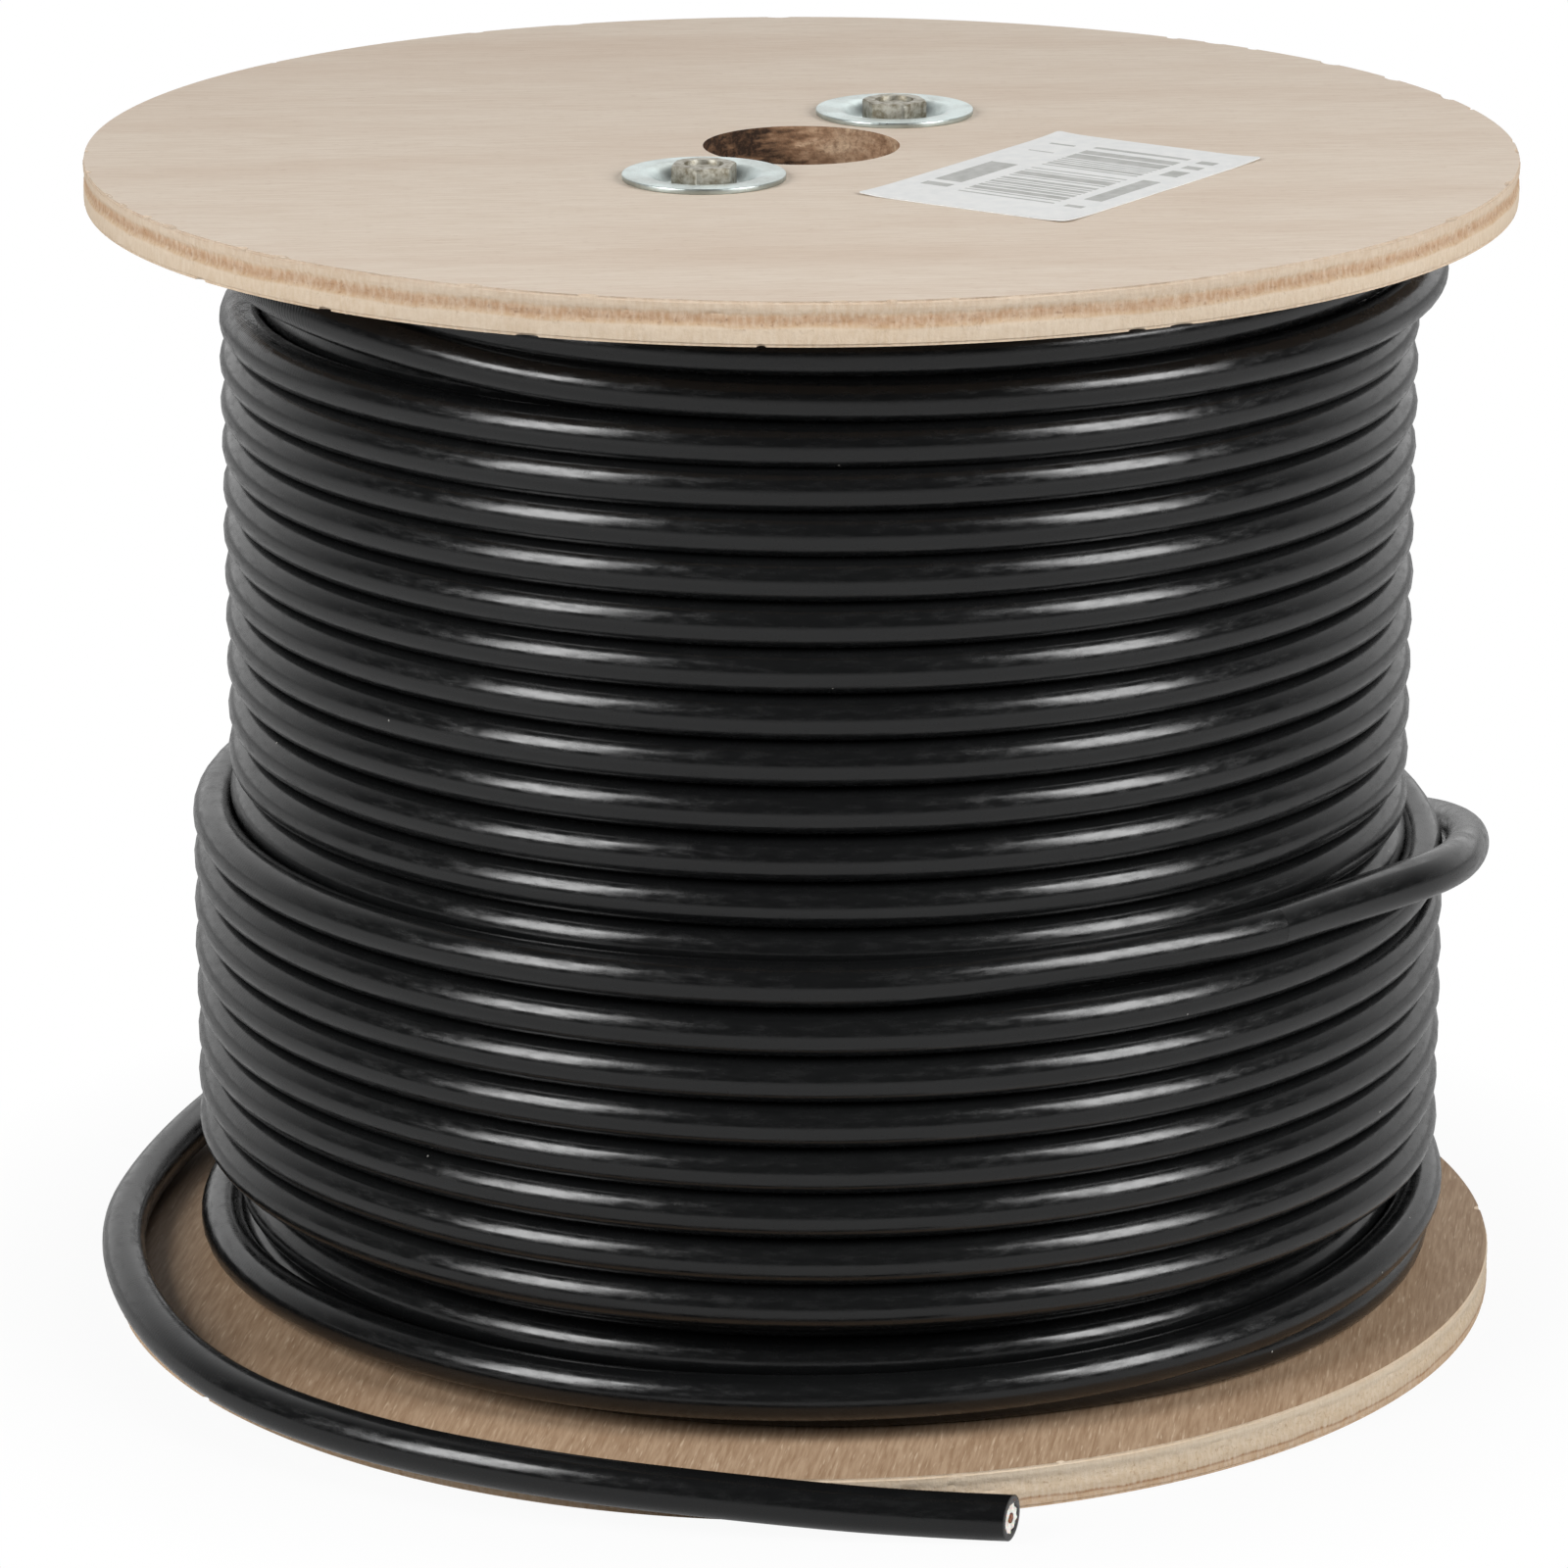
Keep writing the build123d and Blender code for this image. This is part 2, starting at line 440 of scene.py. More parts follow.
@dataclass(frozen=True)
class ExtrudedPvc(Finish):
    """Extruded PVC cable jacket.

    Gives the eye a deep black with a satin gloss: long soft highlights with
    slightly grainy ends, specks of dust, and fine wrinkles across the tight
    bend under the upper flange.
    """

    name: str = "extruded_black_pvc"
    black: str = "#0c0c0d"
    grey: str = "#131414"
    dust: str = "#b9b7b0"
    dust_spacing: float = 7.0
    wrinkle_spacing: float = 1.1
    grain_size: float = 0.5
    scuff_size: Point = (6, 6, 1.1)
    bend_from: Pair = (-128, -100)
    bend_above: Pair = (226, 240)

    def build(self, add: AddNode) -> dict:
        """Make the finish's nodes.

        Args:
            add: add_node() for the material's tree.

        Returns:
            What goes in the principled surface's sockets.
        """
        where = self.place(add)
        cloud = add("TexNoise", {"Vector": where, "Scale": 1 / mm(60), "Detail": 3.0})
        grain = add("TexNoise", {"Vector": where, "Scale": 1 / mm(self.grain_size), "Detail": 2.0})
        patches = add("TexNoise", {"Vector": self.place(add, self.scuff_size), "Scale": 1.0,
                                   "Detail": 4.0, "Roughness": 0.65})
        speck = add("TexVoronoi", {"Vector": where, "Scale": 1 / mm(self.dust_spacing)}, feature="F1")
        near = add("MapRange", {"Value": speck, **span(0.025, 0.045, 0.6, 0.0)})
        chosen = add("Math", {0: speck.outputs["Color"], 1: 0.8}, operation="GREATER_THAN")
        dusty = add("Math", {0: near, 1: chosen}, operation="MULTIPLY")
        black = add("Mix", {0: cloud, 6: self.black, 7: self.grey}, data_type="RGBA")
        rough = add("MapRange", {"Value": patches, **span(0.38, 0.66, 0.13, 0.3)})
        gritty = add("Math", {0: grain, 1: 0.05, 2: rough}, operation="MULTIPLY_ADD")
        # The wrinkles follow the cable and fade out away from the bend.
        wrinkles = add("TexWave", {"Vector": add("TexCoord").outputs["UV"],
                                   "Scale": 0.314 / mm(self.wrinkle_spacing), "Distortion": 2.5,
                                   "Detail": 2.0, "Detail Scale": 1.5},
                       wave_type="BANDS", bands_direction="X")
        apart = add("SeparateXYZ", {"Vector": where})
        bent = add("MapRange", {"Value": apart.outputs["X"],
                                **span(*map(mm, self.bend_from), 1.0, 0.0)})
        top = add("MapRange", {"Value": apart.outputs["Z"],
                               **span(*map(mm, self.bend_above), 0.05, 0.9)})
        strained = add("Math", {0: bent, 1: top}, operation="MULTIPLY")
        lumps = add("Bump", {"Height": patches, "Strength": 0.16, "Distance": mm(0.05)})
        creased = add("Bump", {"Height": wrinkles.outputs["Fac"], "Strength": strained,
                               "Distance": mm(0.12), "Normal": lumps})
        return {
            "Base Color": add("Mix", {0: dusty, 6: black, 7: self.dust}, data_type="RGBA"),
            "Roughness": add("Math", {0: dusty, 1: 0.5, 2: gritty}, operation="MULTIPLY_ADD"),
            "Specular IOR Level": 0.42,
            "Normal": add("Bump", {"Height": grain, "Strength": 0.25, "Distance": mm(0.02),
                                   "Normal": creased}),
        }


@dataclass(frozen=True)
class PeeledVeneer(Finish):
    """Rotary-cut hardwood veneer, unsanded: the face ply of cheap plywood.

    Gives the eye a matt pinkish beige, fine grain one way, faint brown
    clouds along the grain and short dark pores.
    """

    name: str = "peeled_veneer"
    light: str = "#dccebe"
    mid: str = "#d2c1af"
    cloud: str = "#bfa48e"
    pore: str = "#a98c76"
    grain_turn: float = 4.0
    fibre_size: Pair = (11.0, 0.8)
    cloud_size: Pair = (150.0, 32.0)
    cloud_strength: float = 0.4
    pore_size: Pair = (3.0, 0.55)
    pore_share: float = 0.3

    def grain(self, add: AddNode, size: Pair, **sockets: float) -> Node:
        """Noise drawn out along the grain.

        Args:
            add: add_node() for the material's tree.
            size: its length and width.
            **sockets: the noise's own sockets.

        Returns:
            The noise node.
        """
        length, width = size
        where = self.place(add, (length, width, width), self.grain_turn)
        return add("TexNoise", {"Vector": where, "Scale": 1.0, **sockets})

    def build(self, add: AddNode) -> dict:
        """Make the finish's nodes.

        Args:
            add: add_node() for the material's tree.

        Returns:
            What goes in the principled surface's sockets.
        """
        fibres = self.grain(add, self.fibre_size, Detail=4.0)
        pores = self.grain(add, self.pore_size, Detail=1.0)
        clouds = self.grain(add, self.cloud_size, Detail=5.0, Roughness=0.6)
        base = add("ValToRGB", {"Fac": fibres}, ((0.3, self.mid), (0.65, self.light)))
        cloudy = add("MapRange", {"Value": clouds, **span(0.45, 0.75, 0.0, self.cloud_strength)})
        stained = add("Mix", {0: cloudy, 6: base, 7: self.cloud}, data_type="RGBA")
        pored = add("MapRange", {"Value": pores, **span(0.62, 0.76, 0.0, self.pore_share)})
        ridges = add("Bump", {"Height": fibres, "Strength": 0.35, "Distance": mm(0.12)})
        return {
            "Base Color": add("Mix", {0: pored, 6: stained, 7: self.pore}, data_type="RGBA"),
            "Roughness": 0.62,
            "Specular IOR Level": 0.3,
            "Normal": add("Bump", {"Height": pores, "Strength": 0.3, "Distance": mm(0.08),
                                   "Normal": ridges}, invert=True),
        }


@dataclass(frozen=True)
class SawnPlyEdge(Finish):
    """Sawn edge of the plywood board.

    Gives the eye pale outer plies with short upright fibres, and a tan band
    between them that is rough and speckled brown where its fibres tore out.
    """

    name: str = "sawn_ply_edge"
    bottom: float = 0.0
    bands: tuple[tuple[float, str], ...] = (
        (0.0, "#bba892"), (0.1, "#c6b6a2"), (0.4, "#ccbdaa"), (0.46, "#bda488"), (0.56, "#ac8d70"),
        (0.67, "#b4967a"), (0.74, "#c0aa92"), (0.8, "#c8b8a5"), (1.0, "#c3b2a0"),
    )
    tint: str = "#f3e9dd"
    fibre: str = "#d6c9b8"
    speck: str = "#7d5a40"
    fray_size: Point = (0.9, 0.9, 2.6)
    grit_size: float = 1.0

    def build(self, add: AddNode) -> dict:
        """Make the finish's nodes.

        Args:
            add: add_node() for the material's tree.

        Returns:
            What goes in the principled surface's sockets.
        """
        where = self.place(add, centre=(0, 0, self.bottom))
        apart = add("SeparateXYZ", {"Vector": where})
        share = add("Math", {0: apart.outputs["Z"], 1: mm(BOARD_THICKNESS)}, operation="DIVIDE")
        waves = add("TexNoise", {"Vector": where, "Scale": 1 / mm(22), "Detail": 4.0})
        wander = add("MapRange", {"Value": waves, **span(0.2, 0.8, -0.07, 0.07)})
        fray = add("TexNoise", {"Vector": self.place(add, self.fray_size), "Scale": 1.0, "Detail": 3.0})
        ragged = add("Math", {0: fray, 1: 0.06, 2: wander}, operation="MULTIPLY_ADD")
        height = add("Math", {0: share, 1: ragged}, operation="ADD")
        plies = add("ValToRGB", {"Fac": height}, self.bands)
        stain = add("TexNoise", {"Vector": where, "Scale": 1 / mm(40), "Detail": 2.0})
        tinted = add("Mix", {0: stain, 6: plies, 7: self.tint}, data_type="RGBA", blend_type="MULTIPLY")
        light = add("MapRange", {"Value": fray, **span(0.35, 0.7, 0.0, 0.4)})
        fibred = add("Mix", {0: light, 6: tinted, 7: self.fibre}, data_type="RGBA")
        grit = add("TexNoise", {"Vector": where, "Scale": 1 / mm(self.grit_size), "Detail": 4.0,
                                "Roughness": 0.7})
        torn = add("MapRange", {"Value": grit, **span(0.56, 0.74, 0.0, 0.75)})
        middle = add("MapRange", {"Value": height, **span(0.3, 0.52, 0.15, 1.0)})
        upper = add("MapRange", {"Value": height, **span(0.64, 0.8, 1.0, 0.12)})
        belt = add("Math", {0: middle, 1: upper}, operation="MULTIPLY")
        specks = add("Math", {0: torn, 1: belt}, operation="MULTIPLY")
        coarse = add("Bump", {"Height": grit, "Strength": 0.6, "Distance": mm(0.35)})
        return {
            "Base Color": add("Mix", {0: specks, 6: fibred, 7: self.speck}, data_type="RGBA"),
            "Roughness": 0.8,
            "Specular IOR Level": 0.2,
            "Normal": add("Bump", {"Height": fray, "Strength": 0.5, "Distance": mm(0.25),
                                   "Normal": coarse}),
        }


@dataclass(frozen=True)
class DrilledWood(Finish):
    """Wall of a hole cut with a worn hole saw.

    Gives the eye rough brown fibres with darker burnt stretches, most at the left.
    """

    name: str = "drilled_wood"
    burns: tuple[tuple[float, str], ...] = (
        (0.3, "#33251c"), (0.42, "#7d5f48"), (0.54, "#a5856a"), (0.72, "#c4a88c"),
    )
    torn: str = "#6d503b"
    patch_size: Point = (9, 9, 3)
    fibre_size: float = 1.2
    burnt_side: Pair = (-14, 8)

    def build(self, add: AddNode) -> dict:
        """Make the finish's nodes.

        Args:
            add: add_node() for the material's tree.

        Returns:
            What goes in the principled surface's sockets.
        """
        where = self.place(add)
        patches = add("TexNoise", {"Vector": self.place(add, self.patch_size), "Scale": 1.0,
                                   "Detail": 3.0, "Roughness": 0.6})
        rough = add("TexNoise", {"Vector": where, "Scale": 1 / mm(self.fibre_size), "Detail": 4.0,
                                 "Roughness": 0.7})
        apart = add("SeparateXYZ", {"Vector": where})
        left = add("MapRange", {"Value": apart.outputs["X"],
                                **span(*map(mm, self.burnt_side), -0.2, 0.06)})
        burn = add("Math", {0: patches, 1: left}, operation="ADD")
        base = add("ValToRGB", {"Fac": burn}, self.burns)
        torn = add("MapRange", {"Value": rough, **span(0.45, 0.7, 0.0, 0.75)})
        return {
            "Base Color": add("Mix", {0: torn, 6: base, 7: self.torn}, data_type="RGBA"),
            "Roughness": 0.85,
            "Specular IOR Level": 0.2,
            "Normal": add("Bump", {"Height": rough, "Strength": 0.8, "Distance": mm(0.6)}),
        }


@dataclass(frozen=True)
class ZincPlate(Finish):
    """Zinc-plated and blue-passivated pressed steel.

    Gives the eye a pale bluish metal with a soft sheen and dull stains.
    """

    name: str = "zinc_plate"
    zinc: str = "#c2cdcb"
    stain: str = "#a7aeaa"
    shine: Pair = (0.27, 0.43)

    def build(self, add: AddNode) -> dict:
        """Make the finish's nodes.

        Args:
            add: add_node() for the material's tree.

        Returns:
            What goes in the principled surface's sockets.
        """
        where = self.place(add)
        blotch = add("TexNoise", {"Vector": where, "Scale": 1 / mm(9), "Detail": 3.0})
        scratch = add("TexNoise", {"Vector": where, "Scale": 1 / mm(0.9), "Detail": 3.0})
        return {
            "Base Color": add("ValToRGB", {"Fac": blotch}, ((0.35, self.stain), (0.6, self.zinc))),
            "Metallic": 1.0,
            "Roughness": add("MapRange", {"Value": scratch, **span(0.3, 0.7, *self.shine)}),
            "Normal": add("Bump", {"Height": scratch, "Strength": 0.12, "Distance": mm(0.04)}),
        }


@dataclass(frozen=True)
class HotDipZinc(Finish):
    """Hot-dip galvanised nut, dull and grainy.

    Gives the eye a mid grey metal with a coarse grain and dirt in its pits.
    """

    name: str = "hot_dip_zinc"
    zinc: str = "#a9a69b"
    dirt: str = "#77705f"
    grain_size: float = 1.6

    def build(self, add: AddNode) -> dict:
        """Make the finish's nodes.

        Args:
            add: add_node() for the material's tree.

        Returns:
            What goes in the principled surface's sockets.
        """
        grain = add("TexNoise", {"Vector": self.place(add), "Scale": 1 / mm(self.grain_size),
                                 "Detail": 3.0, "Roughness": 0.55})
        return {
            "Base Color": add("ValToRGB", {"Fac": grain}, ((0.35, self.dirt), (0.6, self.zinc))),
            "Metallic": 0.85,
            "Roughness": 0.5,
            "Normal": add("Bump", {"Height": grain, "Strength": 0.35, "Distance": mm(0.15)}),
        }


@dataclass(frozen=True)
class Copper(Finish):
    """Drawn bare copper, a little tarnished: a warm red-brown metal."""

    name: str = "drawn_copper"
    bright: str = "#b97a5c"
    tarnish: str = "#6e4636"
    spot_size: float = 0.8

    def build(self, add: AddNode) -> dict:
        """Make the finish's nodes.

        Args:
            add: add_node() for the material's tree.

        Returns:
            What goes in the principled surface's sockets.
        """
        spots = add("TexNoise", {"Vector": self.place(add), "Scale": 1 / mm(self.spot_size),
                                 "Detail": 3.0})
        paint = add("ValToRGB", {"Fac": spots}, ((0.4, self.tarnish), (0.6, self.bright)))
        return {"Base Color": paint, "Metallic": 1.0, "Roughness": 0.38}


@dataclass(frozen=True)
class FoamPolyethylene(Finish):
    """Foamed polyethylene dielectric, freshly cut: waxy white with fine cells."""

    name: str = "foam_polyethylene"
    white: str = "#f2efea"
    shade: str = "#d9d0c8"
    cell_size: float = 0.35

    def build(self, add: AddNode) -> dict:
        """Make the finish's nodes.

        Args:
            add: add_node() for the material's tree.

        Returns:
            What goes in the principled surface's sockets.
        """
        where = self.place(add)
        cells = add("TexVoronoi", {"Vector": where, "Scale": 1 / mm(self.cell_size)})
        smear = add("TexNoise", {"Vector": where, "Scale": 1 / mm(1.6), "Detail": 2.0})
        return {
            "Base Color": add("ValToRGB", {"Fac": smear}, ((0.35, self.shade), (0.6, self.white))),
            "Roughness": 0.5,
            "Subsurface Weight": 0.2,
            "Subsurface Scale": mm(1.0),
            "Normal": add("Bump", {"Height": cells, "Strength": 0.3, "Distance": mm(0.08)}),
        }


@dataclass(frozen=True)
class WoundCardboard(Finish):
    """Spirally wound grey-brown cardboard tube: matt, with its paper's seam."""

    name: str = "wound_cardboard"
    paper: str = "#a98c6c"
    shade: str = "#98795a"
    seam: str = "#7d6248"
    seam_spacing: float = 80.0

    def build(self, add: AddNode) -> dict:
        """Make the finish's nodes.

        Args:
            add: add_node() for the material's tree.

        Returns:
            What goes in the principled surface's sockets.
        """
        where = self.place(add, centre=(DRUM_AXIS_OFFSET, 0, 0))
        parts = add("SeparateXYZ", {"Vector": where}).outputs
        angle = add("Math", {0: parts["Y"], 1: parts["X"]}, operation="ARCTAN2")
        turns = add("Math", {0: angle, 1: 2 * math.pi}, operation="DIVIDE")
        climb = add("Math", {0: parts["Z"], 1: 1 / mm(self.seam_spacing), 2: turns},
                    operation="MULTIPLY_ADD")
        phase = add("Math", {0: climb}, operation="FRACT")
        line = add("MapRange", {"Value": phase, **span(0.0, 0.02, 1.0, 0.0)})
        fluff = add("TexNoise", {"Vector": where, "Scale": 1 / mm(1.5), "Detail": 4.0})
        base = add("ValToRGB", {"Fac": fluff}, ((0.35, self.shade), (0.65, self.paper)))
        return {
            "Base Color": add("Mix", {0: line, 6: base, 7: self.seam}, data_type="RGBA"),
            "Roughness": 0.85,
            "Normal": add("Bump", {"Height": fluff, "Strength": 0.3, "Distance": mm(0.1)}),
        }


@dataclass(frozen=True)
class PrintedBars:
    """One block of generic printed bars, from corner to corner about the label's centre."""

    low: Pair
    high: Pair
    step: float
    share: float


@dataclass(frozen=True)
class ThermalLabelPaper(Finish):
    """Smooth thermal label paper with generic grey bars, no words or numbers."""

    name: str = "thermal_label_paper"
    paper: str = "#e2e2e0"
    shade: str = "#d8d9d8"
    ink: str = "#94948f"
    blocks: tuple[PrintedBars, ...] = (
        PrintedBars((-27.0, -14.0), (33.0, 10.5), 0.9, 0.52),
        PrintedBars((-27.0, -21.5), (33.0, -17.0), 3.1, 0.62),
        PrintedBars((-24.0, 14.5), (5.0, 21.5), 2.6, 0.7),
        PrintedBars((20.0, 15.0), (30.0, 21.5), 1.6, 0.3),
    )

    def build(self, add: AddNode) -> dict:
        """Make the finish's nodes.

        Args:
            add: add_node() for the material's tree.

        Returns:
            What goes in the principled surface's sockets.
        """
        where = self.place(add, turn=LABEL_TURN, centre=(*LABEL_CENTRE, 0))
        parts = add("SeparateXYZ", {"Vector": where}).outputs
        printed = None
        for block in self.blocks:
            steps = add("Math", {0: parts["X"], 1: 1 / mm(block.step)}, operation="MULTIPLY")
            chance = add("TexWhiteNoise", {"W": add("Math", {0: steps}, operation="FLOOR")},
                         noise_dimensions="1D")
            mask = add("Math", {0: chance, 1: block.share}, operation="LESS_THAN")
            for axis, low, high in zip("XY", block.low, block.high):
                for limit, test in ((low, "GREATER_THAN"), (high, "LESS_THAN")):
                    side = add("Math", {0: parts[axis], 1: mm(limit)}, operation=test)
                    mask = add("Math", {0: mask, 1: side}, operation="MULTIPLY")
            printed = add("Math", {0: printed, 1: mask}, operation="MAXIMUM") if printed else mask
        haze = add("TexNoise", {"Vector": where, "Scale": 1 / mm(3), "Detail": 4.0})
        worn = add("MapRange", {"Value": haze, **span(0.3, 0.7, 1.0, 0.72)})
        inked = add("Math", {0: printed, 1: worn}, operation="MULTIPLY")
        sheet = add("ValToRGB", {"Fac": haze}, ((0.3, self.shade), (0.7, self.paper)))
        return {
            "Base Color": add("Mix", {0: inked, 6: sheet, 7: self.ink}, data_type="RGBA"),
            "Roughness": 0.45,
            "Normal": add("Bump", {"Height": haze, "Strength": 0.1, "Distance": mm(0.05)}),
        }


# The camera, the lights and the floor


@dataclass
class Softbox:
    """One rectangular studio lamp, placed by its direction from the reel. Sizes in metres."""

    name: str
    azimuth: float
    elevation: float
    width: float
    height: float
    watts: float
    distance: float = 1.7

    def build(self, aim: Vector) -> None:
        """Hang the lamp and turn it to the aim.

        Args:
            aim: the point it faces, in metres.
        """
        a, e = math.radians(self.azimuth), math.radians(self.elevation)
        towards = Vector((math.sin(a) * math.cos(e), -math.cos(a) * math.cos(e), math.sin(e)))
        lamp = bpy.data.lights.new(self.name, "AREA")
        lamp.shape = "RECTANGLE"
        lamp.size, lamp.size_y, lamp.energy = self.width, self.height, self.watts
        holder = bpy.data.objects.new(self.name, lamp)
        bpy.context.collection.objects.link(holder)
        holder.location = aim + towards * self.distance
        holder.rotation_euler = towards.to_track_quat("Z", "Y").to_euler()


@dataclass
class Studio:
    """Camera at the photograph's place, white floor, plain lamps."""

    camera_place: Point = (0.0, -1526.15, 570.12)
    pitch: float = 0.28943
    yaw: float = -0.00254
    focal_share: float = 7082.26 / 1600
    sensor: float = 36.0
    aim: Point = (0, 0, 130)
    world_grey: float = 0.05
    floor_paint: str = "#bdbdbd"
    floor_fade: Pair = (165.0, 225.0)
    floor_near: float = 0.94
    floor_in_gloss: float = 0.33
    softboxes: list[Softbox] = field(default_factory=lambda: [
        Softbox("softbox_right", 58.5, 28, 0.64, 0.975, 27),
        Softbox("softbox_left", -52.3, 28, 0.61, 0.975, 26),
        Softbox("softbox_back", 165, 45, 1.2, 1.0, 3),
    ])

    def build(self) -> None:
        """Make the camera, the lamps, the floor and the world."""
        shot = bpy.data.cameras.new("shot")
        shot.sensor_width, shot.sensor_fit = self.sensor, "HORIZONTAL"
        shot.lens = self.sensor * self.focal_share
        shot.clip_start, shot.clip_end = 0.01, 100.0
        camera = bpy.data.objects.new("shot", shot)
        bpy.context.collection.objects.link(camera)
        camera.location = [mm(c) for c in self.camera_place]
        camera.rotation_euler = (math.pi / 2 - self.pitch, 0.0, -self.yaw)
        bpy.context.scene.camera = camera
        for lamp in self.softboxes:
            lamp.build(Vector(self.aim) / 1000)
        self.floor()
        self.world()
        bpy.context.scene.view_settings.view_transform = "Standard"

    def floor(self) -> None:
        """Lay a wide white floor with a faint shadow near the reel and none further off."""
        deselect()
        bpy.ops.mesh.primitive_plane_add(size=24.0, location=(0, 0, -0.0002))
        floor = new_piece("floor")
        made = bpy.data.materials.new("white_floor")
        add = node_sheet(made)
        rays = add("LightPath").outputs
        seen = add("Math", {0: rays["Is Glossy Ray"], 1: self.floor_in_gloss, 2: rays["Is Camera Ray"]},
                   operation="MULTIPLY_ADD")
        seen = add("Math", {0: seen, 1: rays["Is Transmission Ray"]}, operation="ADD", use_clamp=True)
        reach = add("VectorMath", {0: add("TexCoord").outputs["Object"]}, operation="LENGTH")
        plain = add("MapRange", {"Value": reach.outputs["Value"],
                                 **span(*map(mm, self.floor_fade), self.floor_near, 1.0)})
        share = add("Math", {0: seen, 1: plain}, operation="MULTIPLY")
        paint = add("BsdfDiffuse", {"Color": self.floor_paint})
        both = add("MixShader", {0: share, 1: paint, 2: add("Emission", {"Strength": 1.0})})
        add("OutputMaterial", {"Surface": both})
        floor.data.materials.append(made)

    def world(self) -> None:
        """White to the camera, a plain grey room to light the reel, white again behind it."""
        world = bpy.data.worlds.new("studio")
        bpy.context.scene.world = world
        add = node_sheet(world)
        rays = add("LightPath").outputs
        parts = add("SeparateXYZ", {"Vector": add("TexCoord").outputs["Generated"]})
        behind = add("MapRange", {"Value": parts.outputs["Y"], **span(0.1, 0.7)})
        gloss = add("Math", {0: rays["Is Glossy Ray"], 1: behind}, operation="MULTIPLY")
        clear = add("Math", {0: gloss, 1: rays["Is Transmission Ray"]}, operation="ADD")
        seen = add("Math", {0: clear, 1: rays["Is Camera Ray"]}, operation="ADD", use_clamp=True)
        sky = add("Mix", {0: seen, 6: (*[self.world_grey] * 3, 1), 7: (1, 1, 1, 1)}, data_type="RGBA")
        add("OutputWorld", {"Surface": add("Background", {"Color": sky, "Strength": 1.0})})


# The cable


@dataclass
class Strand:
    """A length of cable that follows the control points of one spline."""

    name: str
    points: list[Point]
    order: int = 4
    steps: int = 4
    sides: int = 20

    def curve(self, bevel: float) -> Object:
        """The spline as a curve object.

        Args:
            bevel: radius of its round section, 0 for the bare line.

        Returns:
            The curve object.
        """
        data = bpy.data.curves.new(self.name, "CURVE")
        data.dimensions = "3D"
        spline = data.splines.new("NURBS")
        spline.points.add(len(self.points) - 1)
        for target, (x, y, z) in zip(spline.points, self.points):
            target.co = (mm(x), mm(y), mm(z), 1.0)
        spline.order_u = self.order
        spline.use_endpoint_u = True
        spline.resolution_u = data.resolution_u = self.steps
        data.bevel_depth = mm(bevel)
        data.bevel_resolution = (self.sides - 4) // 2
        piece = bpy.data.objects.new(self.name, data)
        bpy.context.collection.objects.link(piece)
        return piece

    def centreline(self) -> list[Vector]:
        """Points of the bare spline, in metres, as Blender evaluates it."""
        line = self.curve(0.0)
        mesh = bpy.data.meshes.new_from_object(line)
        points = [v.co.copy() for v in mesh.vertices]
        bpy.data.meshes.remove(mesh)
        bpy.data.objects.remove(line)
        return points

    def tube(self) -> Object:
        """The strand as a tube of quads whose UV map is in metres along and round it."""
        pick(self.curve(CABLE_RADIUS))
        bpy.ops.object.convert(target="MESH")
        piece = new_piece(self.name)
        line = self.centreline()
        length = sum((b - a).length for a, b in zip(line, line[1:]))
        for corner in piece.data.uv_layers[0].data:
            corner.uv = (corner.uv[0] * length, corner.uv[1] * 2 * math.pi * mm(CABLE_RADIUS))
        pick(piece)
        bpy.ops.object.shade_smooth()
        return piece


